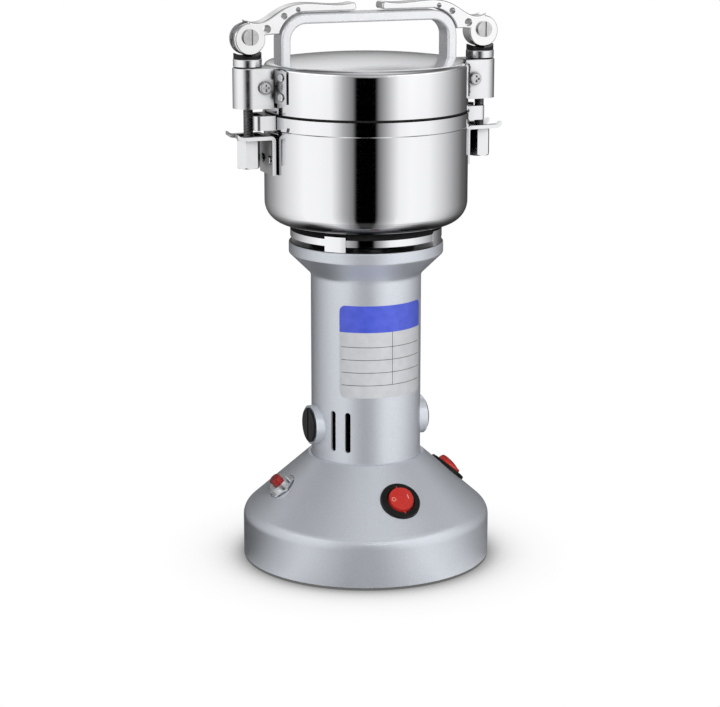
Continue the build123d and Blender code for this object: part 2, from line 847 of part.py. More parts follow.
def crown(offset, bottom):
    """A solid under the lid's dome, set in by an offset, above a height."""
    radius = lid_radius - offset
    edge = (radius, crown_height(radius, offset))
    middle = (radius / 2, crown_height(radius / 2, offset))
    dome = ThreePointArc((0, crown_height(0, offset)), middle, edge)
    walls = Polyline(edge, (radius, bottom), (0, bottom), (0, crown_height(0, offset)))
    face = make_face([dome, walls])
    corner = face.vertices().sort_by_distance(Vector(*edge))[0]
    face = fillet(corner, lid_edge_round - offset)
    return revolve(Plane.XZ * face, axis=Axis.Z)


def lid_shell():
    shell = crown(0, lid_bottom) - crown(lid_wall, lid_bottom - overrun)
    shell += tube(lid_radius - lid_wall / 2, lid_flange_inner, lid_bottom, lid_bottom + lid_flange_thickness)
    shell += tube(rim_bore - free_gap, lid_flange_inner, lid_bottom - lid_spigot_depth, lid_bottom)
    for x, y in handle_screw_places():
        shell -= Pos(x, y, 0) * drum(handle_screw_radius + slip_gap, lid_bottom, lid_crown)
    for hole in lug_rivet_shanks(slip_gap):
        shell -= hole
    return shell


def lid_gasket():
    return tube(gasket_outer, rim_bore - free_gap + running_gap, gasket_bottom, lid_bottom)


def handle_screw_places():
    half = handle_screw_pitch / 2
    return [(x, y) for x in (-handle_centre, handle_centre) for y in (-half, half)]


def handle():
    outer = RectangleRounded(2 * handle_reach, 2 * (handle_top - lid_side_top), handle_corner)
    inner_round = handle_corner - handle_thickness
    inner_reach = handle_reach - handle_thickness
    inner = RectangleRounded(2 * inner_reach, 2 * (handle_inner_top - lid_side_top), inner_round)
    face = Pos(0, lid_side_top) * (outer - inner)
    strap = extrude(Plane.XZ * face, amount=handle_width / 2, both=True)
    strap = fillet(strap.edges().filter_by(Plane.XZ), handle_edge_round)
    strap -= Pos(0, 0, crown_centre) * Sphere(crown_radius)
    for x, y in handle_screw_places():
        strap -= Pos(x, y, 0) * drum(handle_screw_radius, lid_bottom, lid_side_top + handle_screw_length)
    return strap


def handle_screws():
    screws = []
    for x, y in handle_screw_places():
        seat = crown_height(hypot(abs(x) + handle_screw_head_radius, abs(y)), lid_wall)
        head = drum(handle_screw_head_radius, seat - handle_screw_head_height, seat)
        shank = drum(handle_screw_radius - running_gap, seat, lid_side_top + handle_screw_length - overrun)
        screws.append(Pos(x, y, 0) * (head + shank))
    return group(screws)


def lug_rivet_shanks(clearance):
    """Shank solids of the lug rivets for both clamps, through the lid wall."""
    shanks = []
    for side in (0, 180):
        for angle in (-rivet_angle, rivet_angle):
            for height in (lug_bottom + rivet_inset, lug_top - rivet_inset):
                shank = along_x(rivet_radius - running_gap + clearance, height, lid_radius - lid_wall - overrun,
                                lid_radius + lug_thickness + running_gap)
                shanks.append(Rot(0, 0, side + angle) * shank)
    return shanks


def lug_rivets():
    rivets = []
    places = [(side + angle, height) for side in (0, 180) for angle in (-rivet_angle, rivet_angle)
              for height in (lug_bottom + rivet_inset, lug_top - rivet_inset)]
    face = lid_radius + lug_thickness + running_gap
    for (angle, height), shank in zip(places, lug_rivet_shanks(0)):
        head = along_x(rivet_head_radius, height, face, face + rivet_head_height)
        head = fillet(head.edges().group_by(Axis.X)[-1], rivet_head_height / 2)
        rivets.append(shank + Rot(0, 0, angle) * head)
    return group(rivets)


def lid_lug():
    inner = lid_radius + running_gap
    plate = sector(inner, inner + lug_thickness, -lug_half_angle, lug_half_angle, lug_bottom, lug_top)
    tongue = block(lid_radius, lug_tongue_reach, -lug_tongue_thickness / 2, lug_tongue_thickness / 2,
                   lug_bottom + lug_tongue_margin, lug_top - lug_tongue_margin)
    lug = plate + tongue - drum(inner, lug_bottom - overrun, lug_top + overrun)
    lug -= along_y(cross_screw_radius + slip_gap, cross_screw_offset, cross_screw_height, -lid_radius, lid_radius)
    for height in (lug_bottom + rivet_inset, lug_top - rivet_inset):
        for angle in (-rivet_angle, rivet_angle):
            lug -= Rot(0, 0, angle) * along_x(rivet_radius, height, lid_radius - overrun, clamp_offset)
    return lug


def lid_lugs():
    lug = lid_lug()
    return group([mirrored(lug), lug])


def stadium(radius, inner_end, bottom, top):
    """An upright block with a half-round outer end about the rod and flat sides."""
    body = Pos(clamp_offset, 0, 0) * drum(radius, bottom, top)
    return body + block(inner_end, clamp_offset, -radius, radius, bottom, top)


def clamp_bracket():
    inner_end = lid_radius + lug_thickness + slip_gap
    body = stadium(bracket_radius, inner_end - overrun, bracket_bottom, bracket_top)
    round_top = body.edges().group_by(Axis.Z)[-1].filter_by(lambda e: e.center().X > inner_end)
    body = fillet(round_top, bracket_edge_round)
    body -= drum(inner_end, bracket_bottom - overrun, bracket_top + overrun)
    body -= stadium(bracket_radius - bracket_wall, inner_end - overrun, bracket_bottom + bracket_wall,
                    bracket_top - bracket_wall)
    body -= Pos(clamp_offset, 0, 0) * drum(bush_radius + running_gap, bracket_top - bracket_wall - overrun,
                                            bracket_top + overrun)
    body -= Pos(clamp_offset, 0, 0) * drum(rod_radius + slip_gap, bracket_bottom - overrun,
                                            bracket_bottom + bracket_wall + overrun)
    body -= along_y(cross_screw_radius + slip_gap, cross_screw_offset, cross_screw_height, -lid_radius, lid_radius)
    return body


def bracket_screws():
    x, z = cross_screw_offset, cross_screw_height
    head = along_y(cross_screw_head_radius, x, z, -bracket_radius - cross_screw_head_height, -bracket_radius)
    head = fillet(head.edges().group_by(Axis.Y)[0], cross_screw_head_height / 3)
    slot_floor = -bracket_radius - cross_screw_head_height / 2
    slot_end = -bracket_radius - cross_screw_head_height - overrun
    arm = cross_screw_head_radius * cross_screw_arm_share
    half = cross_screw_slot / 2
    head -= block(x - arm, x + arm, slot_end, slot_floor, z - half, z + half)
    head -= block(x - half, x + half, slot_end, slot_floor, z - arm, z + arm)
    nut = along_y(cross_screw_head_radius, x, z, bracket_radius, bracket_radius + cross_nut_height)
    screw = head + nut + along_y(cross_screw_radius - running_gap, x, z, -bracket_radius, bracket_radius)
    return group([mirrored(screw), screw])


def thrust_washers():
    ring = tube(washer_radius, rod_radius + slip_gap, washer_bottom, washer_bottom + washer_height)
    ring = fillet(ring.edges().group_by(Axis.Z)[-1].sort_by(SortBy.RADIUS)[-1], saddle_edge_round)
    bush = tube(bush_radius, rod_radius + slip_gap, bracket_top - bracket_wall, washer_bottom)
    washer = Pos(clamp_offset, 0, 0) * (ring + bush)
    return group([mirrored(washer), washer])


def cam_saddles():
    height = saddle_low + saddle_hollow_radius
    side = height - sqrt(saddle_hollow_radius ** 2 - saddle_radius ** 2)
    body = tube(saddle_radius, rod_radius + slip_gap, saddle_bottom, side)
    body -= along_y(saddle_hollow_radius, 0, height, -washer_radius, washer_radius)
    saddle = Pos(clamp_offset, 0, 0) * body
    return group([mirrored(saddle), saddle])


def draw_rod():
    shank = Pos(clamp_offset, 0, 0) * drum(rod_radius, rod_bottom, pivot_height)
    shank = chamfer(shank.edges().group_by(Axis.Z)[0], rod_end_chamfer)
    half = rod_eye_thickness / 2
    eye = along_y(rod_eye_radius, clamp_offset, pivot_height, -half, half)
    waist = block(clamp_offset - rod_radius, clamp_offset + rod_radius, -half, half,
                  pivot_height - rod_eye_radius, pivot_height + rod_eye_radius)
    below = Pos(clamp_offset, 0, 0) * drum(rod_radius, rod_bottom, pivot_height - rod_eye_radius)
    shank = (shank & (below + waist)) + eye
    return shank - along_y(pin_radius + running_gap, clamp_offset, pivot_height, -half - overrun, half + overrun)


def adjusting_nut():
    hexagon = RegularPolygon(nut_across / 2, 6, major_radius=False)
    nut = extrude(Pos(0, 0, nut_bottom) * hexagon, amount=nut_top - nut_bottom)
    corner = nut_across / sqrt(3)
    ends = turned([(0, nut_bottom), (corner - nut_chamfer, nut_bottom), (corner, nut_bottom + nut_chamfer),
                   (corner, nut_top - nut_chamfer), (corner - nut_chamfer, nut_top), (0, nut_top)])
    bore = drum(rod_radius, nut_bottom - overrun, nut_top + overrun)
    return Pos(clamp_offset, 0, 0) * ((nut & ends) - bore)


def lever_point(share):
    """A lever point from shares of its reach, inwards from the pivot, and of its rise."""
    return (clamp_offset - share[0] * lever_reach, pivot_height + share[1] * lever_rise)


def lever_arm():
    """The arm's side view: its underside follows the handle's corner and bar at one gap."""
    corner = Vector(handle_reach - handle_corner, handle_top - handle_corner)
    under = handle_corner + lever_gap
    root_low = Vector(*lever_point(lever_root_shares))
    arc = CenterArc(corner, under, lever_under_angle, 90 - lever_under_angle)
    tip = Vector(clamp_offset - lever_reach, handle_top + lever_gap)
    tops = [Vector(*lever_point(share)) for share in lever_top_shares]
    root_high = Vector(clamp_offset - lever_shoulder_shares[0] * lever_reach,
                       pivot_height - cam_throw + lever_shoulder_shares[1] * cam_radius)
    bottom = Line(arc @ 1, tip)
    end = Line(tip, tops[-1])
    top = Spline(*reversed(tops), root_high)
    back = Line(root_high, (clamp_offset, pivot_height))
    root = Line((clamp_offset, pivot_height), root_low)
    join = Line(root_low, arc @ 0)
    face = make_face([arc, bottom, end, top, back, root, join])
    for point in (tip, tops[-1]):
        corner = face.vertices().sort_by_distance(point)[0]
        face = fillet(corner, lever_tip_round)
    return face


def lever():
    half = lever_thickness / 2
    hub = Pos(clamp_offset, pivot_height - cam_throw) * Circle(cam_radius)
    body = extrude(Plane.XZ * (lever_arm() + hub), amount=half, both=True)
    rims = body.edges().group_by(Axis.Y)
    body = fillet(rims[0] + rims[-1], lever_edge_round)
    for u, v, size in lever_hole_shares:
        x, z = lever_point((u, v))
        body -= along_y(size * lever_rise / 2, x, z, -lever_thickness, lever_thickness)
    gap = lever_slot / 2
    body -= along_y(rod_eye_radius + free_gap, clamp_offset, pivot_height, -gap, gap)
    far = cam_radius + cam_throw + overrun
    body -= block(clamp_offset - rod_radius - free_gap, clamp_offset + far, -gap, gap,
                  pivot_height - far, pivot_height + far)
    return body - along_y(pin_radius + running_gap, clamp_offset, pivot_height, -lever_thickness, lever_thickness)


def lever_pin():
    half = lever_thickness / 2
    x, z = clamp_offset, pivot_height
    head = along_y(pin_head_radius, x, z, -half - pin_head_height, -half)
    slot = block(x - pin_slot / 2, x + pin_slot / 2, -half - pin_head_height - overrun,
                 -half - pin_head_height + pin_slot_depth, z - pin_head_radius, z + pin_head_radius)
    tail = along_y(pin_tail_radius, x, z, half, half + pin_head_height)
    return head - slot + tail + along_y(pin_radius, x, z, -half, half)


def fork_cut(bottom, top):
    """The open-ended notch that the rod and its nut stand in."""
    return block(slot_start, fork_end, -slot_half, slot_half, bottom - overrun, top + overrun)


def catch_bracket():
    """A bent strap: a leg on the bowl wall, a shelf outwards and a flared end, forked for the rod."""
    leg_in = bowl_radius + running_gap
    leg_out = leg_in + catch_thickness
    under = catch_top - catch_thickness
    flare = catch_top + catch_flare_rise
    points = [(leg_in, catch_bottom), (leg_out, catch_bottom), (leg_out, under), (catch_reach, under),
              (catch_flare_reach, flare - catch_thickness), (catch_flare_reach, flare),
              (catch_reach, catch_top), (leg_in, catch_top)]
    face = make_face(Polyline(*points, close=True))
    for index, radius in ((7, catch_bend_round), (2, catch_bend_round - catch_thickness)):
        corner = face.vertices().sort_by_distance(Vector(*points[index]))[0]
        face = fillet(corner, radius)
    strap = extrude(Plane.XZ * face, amount=catch_width / 2, both=True)
    strap -= fork_cut(under, flare)
    strap -= drum(leg_in, catch_bottom - overrun, flare + overrun)
    for y in (-catch_rivet_pitch / 2, catch_rivet_pitch / 2):
        strap -= Pos(0, y, 0) * along_x(rivet_radius, catch_top - catch_rivet_drop, leg_in - overrun, catch_reach)
    return strap


def rim_guide():
    """Two ears on the bowl's rim band that stand either side of the rod."""
    inner = rim_radius + running_gap
    plate = block(bowl_radius, guide_reach, -catch_width / 2, catch_width / 2, guide_bottom, guide_top)
    plate -= drum(inner, guide_bottom - overrun, guide_top + overrun)
    plate = fillet(plate.edges().filter_by(Axis.Z).group_by(Axis.X)[-1], guide_corner)
    return plate - fork_cut(guide_bottom, guide_top)


def catch_rivets():
    leg_out = bowl_radius + running_gap + catch_thickness
    rivets = []
    for y in (-catch_rivet_pitch / 2, catch_rivet_pitch / 2):
        height = catch_top - catch_rivet_drop
        shank_in = sqrt(bowl_radius ** 2 - (abs(y) - rivet_radius) ** 2) + running_gap
        shank = along_x(rivet_radius - running_gap, height, shank_in, leg_out)
        head = along_x(rivet_head_radius, height, leg_out, leg_out + rivet_head_height)
        head = fillet(head.edges().group_by(Axis.X)[-1], rivet_head_height / 2)
        rivets.append(Pos(0, y, 0) * (shank + head))
    return group(rivets + [mirrored(rivet) for rivet in rivets])


def rocker(plane):
    """A round rocker with a shallow valley for a face, at rest on its off side, on two trunnions."""
    face_end = rocker_face_height + rocker_radius * tan(radians(rocker_tilt))
    section = Polyline((-rocker_radius, face_end), (0, rocker_face_height), (rocker_radius, face_end),
                       (rocker_radius, -rocker_depth), (-rocker_radius, -rocker_depth), close=True)
    body = extrude(Plane.XZ * make_face(section), amount=rocker_radius, both=True) & Sphere(rocker_radius)
    reach = rocker_radius + free_gap + trunnion_length
    body += along_y(trunnion_radius, 0, 0, -reach, reach)
    return on_cone(plane, Pos(0, 0, rocker_pivot_height) * Rot(0, -rocker_tilt, 0) * body)


def switch_body(plane):
    """A round snap-in switch body with its bezel, rocker well and terminals."""
    bezel = drum(switch_bezel_radius, 0, switch_bezel_height)
    bezel = fillet(bezel.edges().group_by(Axis.Z)[-1], switch_bezel_round)
    body = bezel + drum(switch_barrel_radius, -switch_barrel_depth, 0)
    well = rocker_radius + free_gap
    body -= drum(well, rocker_pivot_height - well, switch_bezel_height + overrun)
    reach = well + trunnion_length + slip_gap
    body -= along_y(trunnion_radius + running_gap, 0, rocker_pivot_height, -reach, reach)
    half = switch_terminal_width / 2
    thick = switch_terminal_thickness / 2
    for x in (-switch_terminal_pitch / 2, switch_terminal_pitch / 2):
        body += block(x - thick, x + thick, -half, half, -switch_barrel_depth - switch_terminal_length,
                      -switch_barrel_depth)
    return on_cone(plane, body)


def breaker_body():
    collar = drum(breaker_collar_radius, -base_wall - overrun, breaker_collar_height)
    rear = drum(breaker_body_radius, -breaker_body_depth, -base_wall - slip_gap)
    well = drum(button_radius + slip_gap, -button_stem_depth - button_travel - free_gap,
                breaker_collar_height + overrun)
    return on_cone(left_plane, collar + rear - well)


def breaker_nut():
    hexagon = RegularPolygon(breaker_nut_across / 2, 6, major_radius=False)
    nut = extrude(hexagon, amount=breaker_nut_height)
    nut -= drum(breaker_collar_radius + running_gap, -overrun, breaker_nut_height + overrun)
    return on_cone(left_plane, nut)


def breaker_button():
    button = drum(button_radius, -button_stem_depth, breaker_collar_height + button_height)
    button = fillet(button.edges().group_by(Axis.Z)[-1], button_round)
    return on_cone(left_plane, button)


def parts():
    """Every node of the grinder by name."""
    nodes = {
        "base_shell": base_shell(),
        "base_plate": base_plate(),
        "rubber_feet": rubber_feet(),
        "base_plate_screws": base_plate_screws(),
        "cord_gland": cord_gland(),
        "motor_housing": motor_housing(),
        "column_screws": column_screws(),
        "lower_bracket": lower_bracket(),
        "ball_bearings": ball_bearings(),
        "stator_core": stator_core(),
        "field_coils": field_coils(),
        "brush_holders": brush_holders(),
        "carbon_brushes": carbon_brushes(),
        "brush_caps": brush_caps(),
        "motor_shaft": motor_shaft(),
        "armature_core": armature_core(),
        "armature_windings": armature_windings(),
        "commutator": commutator(),
        "cooling_fan": cooling_fan(),
        "top_plate": top_plate(),
        "bowl_cushion": bowl_cushion(),
        "bowl": bowl(),
        "bowl_screws": bowl_screws(),
        "shaft_seal": shaft_seal(),
        "lower_blade": blade(0),
        "middle_blade": blade(1),
        "upper_blade": blade(2),
        "blade_spacers": blade_spacers(),
        "blade_nut": blade_nut(),
        "lid_shell": lid_shell(),
        "lid_gasket": lid_gasket(),
        "handle": handle(),
        "handle_screws": handle_screws(),
        "lid_lugs": lid_lugs(),
        "lug_rivets": lug_rivets(),
        "bracket_screws": bracket_screws(),
        "thrust_washers": thrust_washers(),
        "cam_saddles": cam_saddles(),
        "catch_rivets": catch_rivets(),
        "main_switch": switch_body(front_plane),
        "main_rocker": rocker(front_plane),
        "side_switch": switch_body(right_plane),
        "side_rocker": rocker(right_plane),
        "breaker_body": breaker_body(),
        "breaker_nut": breaker_nut(),
        "breaker_button": breaker_button(),
    }
    paired = {
        "clamp_bracket": clamp_bracket(),
        "draw_rod": draw_rod(),
        "adjusting_nut": adjusting_nut(),
        "lever": lever(),
        "lever_pin": lever_pin(),
        "catch": catch_bracket(),
        "rim_guide": rim_guide(),
    }
    for name, shape in paired.items():
        nodes[name + "_right"] = shape
        nodes[name + "_left"] = mirrored(shape)
    return nodes


os.makedirs("parts", exist_ok=True)
for node, shape in parts().items():
    export_step(shape, f"parts/{node}.step")
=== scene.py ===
import json
import math

import bpy
from mathutils import Matrix, Vector


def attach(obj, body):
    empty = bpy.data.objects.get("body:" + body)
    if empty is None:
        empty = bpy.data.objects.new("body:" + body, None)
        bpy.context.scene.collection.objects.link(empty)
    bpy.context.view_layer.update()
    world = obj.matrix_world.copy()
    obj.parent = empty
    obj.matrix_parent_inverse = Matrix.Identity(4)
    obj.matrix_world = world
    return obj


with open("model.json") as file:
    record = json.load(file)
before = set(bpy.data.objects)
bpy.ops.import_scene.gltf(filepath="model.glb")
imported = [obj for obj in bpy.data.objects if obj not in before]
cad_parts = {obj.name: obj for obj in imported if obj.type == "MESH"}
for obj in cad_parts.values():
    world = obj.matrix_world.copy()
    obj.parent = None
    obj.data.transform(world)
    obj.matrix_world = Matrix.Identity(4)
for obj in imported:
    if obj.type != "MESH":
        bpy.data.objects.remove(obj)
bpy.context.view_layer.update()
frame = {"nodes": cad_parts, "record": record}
nodes = frame["nodes"]

# Sizes in metres that follow the CAD model
MM = 0.001
COLUMN_RADIUS = 30.0 * MM
CONE_POINT = Vector((0.0, -49.3016 * MM, 42.6208 * MM))
CONE_OUT = 0.664364
CONE_UP = 0.747409
# Distances in from the column's outer radius where painted shade in its bore starts and is full
BORE_SHADE_START = 1.0 * MM
BORE_SHADE_END = 1.4 * MM
COLLAR_TOP = 176.8 * MM
# Depth below the collar's top where painted shade on its top face sets in
COLLAR_EDGE = 0.4 * MM
# Height below which painted shade darkens the bowl's underside, and its fade
BOWL_LOW = 196.0 * MM
BOWL_FADE = 1.4 * MM
LID_SIDE_TOP = 272.8 * MM
LID_EDGE = 1.4 * MM
ROD_EYE_LOW = 281.0 * MM
ROD_FADE = 1.0 * MM
ROCKER_PIVOT = 0.4 * MM
ROCKER_FACE = 2.6 * MM
ROCKER_TILT = math.radians(10.0)

# Label on the column
LABEL_HALF_ANGLE = 50.0
LABEL_BOTTOM = 95.3 * MM
LABEL_TOP = 146.0 * MM
LABEL_HEADER = 131.4 * MM
LABEL_CORNER = 3.6 * MM
LABEL_LIFT = 0.05 * MM
LABEL_PRINT_LIFT = 0.03 * MM
LABEL_RULES = (123.2 * MM, 116.2 * MM, 109.2 * MM, 102.2 * MM)
LABEL_RULE_WIDTH = 0.32 * MM
LABEL_MARGIN = 1.2 * MM
LABEL_DIVIDER_ANGLE = 6.0
LABEL_STEPS = 72

# Marks on the rockers
MARK_OFFSET = 3.9 * MM
MARK_LIFT = 0.04 * MM
RING_OUTER = 1.25 * MM
RING_INNER = 0.85 * MM
RING_STEPS = 36
BAR_HALF_LENGTH = 1.4 * MM
BAR_HALF_WIDTH = 0.22 * MM
SIDE_SWITCH_TURN = math.radians(90.0)

# Values that several finishes share
NOISE_LOW = 0.3
NOISE_HIGH = 0.7
EVEN = (1.0, 1.0, 1.0)
# Dark colour of the painted shade in the column's bore, on the collar's top face and on the bowl's
# underside
PAINTED_SHADE_DARK = (0.012, 0.012, 0.013)

# Values of single finishes
ROD_EYE_COLOUR = (0.80, 0.80, 0.81)
MOULD_SMOOTHER = 0.05
MOULD_ROUGHER = 0.06
RUBBER_SHINE = 0.15

# Polish of the bowl and the lid, and the slopes between which painted shade darkens the bowl's
# underside
POLISH_LOW = 0.045
POLISH_HIGH = 0.075
LID_TOP_SATIN = 0.12
UNDERSIDE_FULL = -0.78
UNDERSIDE_NONE = -0.36

# Painted shade in the crevices of the clamps
CREVICE_SHADE_REACH = 12.0 * MM
CREVICE_SHADE_CLOSED = 0.35
CREVICE_SHADE_OPEN = 0.80
CREVICE_SHADE_COLOUR = (0.05, 0.05, 0.05)
CREVICE_SHADE_SAMPLES = 8

# Sockets of a mix node that mixes colours
MIX_FIRST = 6
MIX_SECOND = 7
MIX_RESULT = 2

# Camera, matched to the photograph
CAMERA_AZIMUTH = math.radians(-22.0)
CAMERA_DISTANCE = 1.15
CAMERA_HEIGHT = 0.39
CAMERA_PITCH = math.radians(13.54)
CAMERA_PAN = math.radians(0.16)
CAMERA_LENS = 107.8
CAMERA_SENSOR = 36.0

# Floor, and its brightness to the camera by how open the sky is above it
FLOOR_HALF = 6.0
FLOOR_GREY = 0.45
FLOOR_SHADE_REACH = 0.05
FLOOR_SHADE_SAMPLES = 16
FLOOR_SHADE = ((0.40, 0.14), (0.60, 0.44), (0.72, 0.74), (0.86, 0.93), (0.97, 1.0))

# World light that fills the shadows
FILL_COLOUR = (0.97, 0.98, 1.0)
FILL_STRENGTH = 0.09
WHITE = (1.0, 1.0, 1.0)

# Lamps: name, place, aim, size and power
LAMPS = (
    ("key", (-0.13, -1.3, 0.75), (0.0, 0.0, 0.15), 0.6, 19.0),
    ("fill", (1.2, -0.9, 0.7), (0.0, 0.0, 0.15), 1.0, 0.8),
    ("top", (0.1, 0.2, 1.5), (0.0, 0.0, 0.2), 1.0, 1.0),
    ("back", (0.45, 1.2, 0.32), (0.0, 0.0, 0.18), 0.8, 9.0),
)

# Tent round the object
TENT_RADIUS = 0.85
TENT_HEIGHT = 1.3
TENT_LIFT = 0.0005
TENT_SIDES = 96
# Its brightness by angle in degrees from the camera's side, right positive
TENT_STOPS = (
    (-180.0, 0.08), (-150.0, 0.16), (-126.0, 0.38), (-98.0, 0.77), (-72.0, 1.04), (-52.0, 1.03),
    (-38.0, 0.98), (-24.0, 0.45), (-14.2, 0.225), (-12.0, 0.09), (-10.5, 0.0), (10.5, 0.0),
    (12.0, 0.09), (14.2, 0.205), (21.5, 0.44), (36.0, 0.98), (50.0, 1.06), (72.0, 1.0),
    (93.0, 0.70), (115.0, 0.36), (134.0, 0.14), (155.0, 0.06), (180.0, 0.08),
)
# The same for its floor near the object, and where that gives way to the rest by share of the radius
TENT_FLOOR_STOPS = (
    (-180.0, 0.04), (-110.0, 0.04), (-84.0, 0.08), (-62.0, 0.56), (-42.0, 1.0), (-25.0, 0.50),
    (-9.0, 0.06), (9.0, 0.06), (25.0, 0.50), (42.0, 1.0), (62.0, 0.70), (84.0, 0.18),
    (110.0, 0.06), (180.0, 0.04),
)
TENT_FAR = ((0.0, 0.0), (0.18, 0.0), (0.30, 1.0))
# A brighter belt in the wall by share of the height
TENT_BELT = (
    (0.0, 1.0), (0.11, 1.0), (0.17, 1.08), (0.30, 1.0), (0.37, 1.1), (0.45, 1.6),
    (0.52, 1.3), (0.60, 0.5), (0.80, 0.22), (1.0, 0.22),
)
# The least glow by share of the height, and how much of it each side has
TENT_LEAST = (
    (0.0, 0.0), (0.18, 0.0), (0.23, 0.40), (0.38, 0.74), (0.56, 0.80), (0.75, 0.35),
    (0.9, 0.45), (1.0, 0.88),
)
TENT_LEAST_STOPS = (
    (-180.0, 0.4), (-160.0, 0.4), (-140.0, 0.10), (-95.0, 0.10), (-50.0, 0.5), (50.0, 0.8),
    (95.0, 0.30), (140.0, 0.25), (160.0, 0.4), (180.0, 0.4),
)
# A low glow on the back wall for the lid's top, in the same two tables
TENT_BACK = (
    (0.0, 0.0), (0.20, 0.0), (0.25, 0.14), (0.30, 0.40), (0.40, 0.74), (0.52, 1.05),
    (0.70, 1.05), (1.0, 0.6),
)
TENT_BACK_STOPS = (
    (-180.0, 1.0), (-160.0, 1.0), (-148.0, 0.0), (148.0, 0.0), (160.0, 1.0), (180.0, 1.0),
)


def material(name, colour, metallic, roughness):
    """A principled material with plain values, which the functions below add detail to."""
    mat = bpy.data.materials.new(name)
    mat.use_nodes = True
    shader = shader_inputs(mat)
    shader["Base Color"].default_value = (*colour, 1.0)
    shader["Metallic"].default_value = metallic
    shader["Roughness"].default_value = roughness
    mat.diffuse_color = (*colour, 1.0)
    return mat


def shader_inputs(mat):
    """The inputs of a material's principled shader."""
    return mat.node_tree.nodes["Principled BSDF"].inputs


def math_node(tree, operation, first, second):
    """A maths node fed by two outputs, or by an output and a number."""
    node = tree.nodes.new("ShaderNodeMath")
    node.operation = operation
    tree.links.new(first, node.inputs[0])
    if isinstance(second, float):
        node.inputs[1].default_value = second
    else:
        tree.links.new(second, node.inputs[1])
    return node.outputs[0]


def between(tree, source, low, high, start=0.0, end=1.0):
    """A value that runs from start to end while the source runs from low to high."""
    spread = tree.nodes.new("ShaderNodeMapRange")
    spread.inputs["From Min"].default_value = low
    spread.inputs["From Max"].default_value = high
    spread.inputs["To Min"].default_value = start
    spread.inputs["To Max"].default_value = end
    tree.links.new(source, spread.inputs["Value"])
    return spread.outputs["Result"]


def object_axis(tree, axis):
    """One of the object's own coordinates."""
    coords = tree.nodes.new("ShaderNodeTexCoord")
    split = tree.nodes.new("ShaderNodeSeparateXYZ")
    tree.links.new(coords.outputs["Object"], split.inputs["Vector"])
    return split.outputs[axis]


def axis_distance(tree, scale=1.0):
    """The distance from the Z axis in the object's own coordinates, times a scale."""
    coords = tree.nodes.new("ShaderNodeTexCoord")
    flat = tree.nodes.new("ShaderNodeMapping")
    flat.inputs["Scale"].default_value = (scale, scale, 0.0)
    length = tree.nodes.new("ShaderNodeVectorMath")
    length.operation = "LENGTH"
    tree.links.new(coords.outputs["Object"], flat.inputs["Vector"])
    tree.links.new(flat.outputs["Vector"], length.inputs[0])
    return length.outputs["Value"]


def object_noise(tree, scale, stretch=EVEN, detail=3.0):
    """Noise in the object's own coordinates, stretched along an axis if asked."""
    coords = tree.nodes.new("ShaderNodeTexCoord")
    mapping = tree.nodes.new("ShaderNodeMapping")
    mapping.inputs["Scale"].default_value = stretch
    noise = tree.nodes.new("ShaderNodeTexNoise")
    noise.inputs["Scale"].default_value = scale
    noise.inputs["Detail"].default_value = detail
    tree.links.new(coords.outputs["Object"], mapping.inputs["Vector"])
    tree.links.new(mapping.outputs["Vector"], noise.inputs["Vector"])
    return noise.outputs["Fac"]


def vary_colour(mat, scale, dark, light, detail=3.0):
    """Lets the base colour wander between two colours with noise."""
    tree = mat.node_tree
    ramp = tree.nodes.new("ShaderNodeValToRGB")
    first, last = ramp.color_ramp.elements
    first.position = NOISE_LOW
    last.position = NOISE_HIGH
    first.color = (*dark, 1.0)
    last.color = (*light, 1.0)
    tree.links.new(object_noise(tree, scale, detail=detail), ramp.inputs["Fac"])
    tree.links.new(ramp.outputs["Color"], shader_inputs(mat)["Base Color"])


def vary_roughness(mat, scale, low, high, stretch=EVEN):
    """Lets the roughness wander between two values with noise."""
    tree = mat.node_tree
    rough = between(tree, object_noise(tree, scale, stretch), NOISE_LOW, NOISE_HIGH, low, high)
    tree.links.new(rough, shader_inputs(mat)["Roughness"])


def add_bump(mat, source, strength, distance):
    """Drives a bump from a texture output."""
    tree = mat.node_tree
    bump = tree.nodes.new("ShaderNodeBump")
    bump.inputs["Strength"].default_value = strength
    bump.inputs["Distance"].default_value = distance
    tree.links.new(source, bump.inputs["Height"])
    tree.links.new(bump.outputs["Normal"], shader_inputs(mat)["Normal"])


def noise_bump(mat, scale, strength, distance, stretch=EVEN):
    """A fine uneven surface."""
    add_bump(mat, object_noise(mat.node_tree, scale, stretch), strength, distance)


def wave_bump(mat, scale, strength, distance, direction="Z", share=None):
    """Even ridges along one axis, for threads, laminations and windings, scaled by a share output."""
    tree = mat.node_tree
    coords = tree.nodes.new("ShaderNodeTexCoord")
    wave = tree.nodes.new("ShaderNodeTexWave")
    wave.bands_direction = direction
    wave.inputs["Scale"].default_value = scale
    tree.links.new(coords.outputs["Object"], wave.inputs["Vector"])
    height = wave.outputs["Fac"]
    if share:
        height = math_node(tree, "MULTIPLY", height, share)
    add_bump(mat, height, strength, distance)


def blend_colour(mat, share, other):
    """Mixes the base colour, as it is, towards another colour by a share output."""
    tree = mat.node_tree
    target = shader_inputs(mat)["Base Color"]
    mix = tree.nodes.new("ShaderNodeMix")
    mix.data_type = "RGBA"
    if target.links:
        tree.links.new(target.links[0].from_socket, mix.inputs[MIX_FIRST])
    else:
        mix.inputs[MIX_FIRST].default_value = target.default_value
    mix.inputs[MIX_SECOND].default_value = (*other, 1.0)
    tree.links.new(share, mix.inputs["Factor"])
    tree.links.new(mix.outputs[MIX_RESULT], target)


def add_crevice_shade(mat):
    """Paints shade into the base colour in crevices, where ambient occlusion finds other parts near."""
    tree = mat.node_tree
    shelter = tree.nodes.new("ShaderNodeAmbientOcclusion")
    shelter.inputs["Distance"].default_value = CREVICE_SHADE_REACH
    shelter.samples = CREVICE_SHADE_SAMPLES
    # painted shade: the more closed in a point is, the darker its base colour
    share = between(tree, shelter.outputs["AO"], CREVICE_SHADE_CLOSED, CREVICE_SHADE_OPEN, 1.0, 0.0)
    blend_colour(mat, share, CREVICE_SHADE_COLOUR)


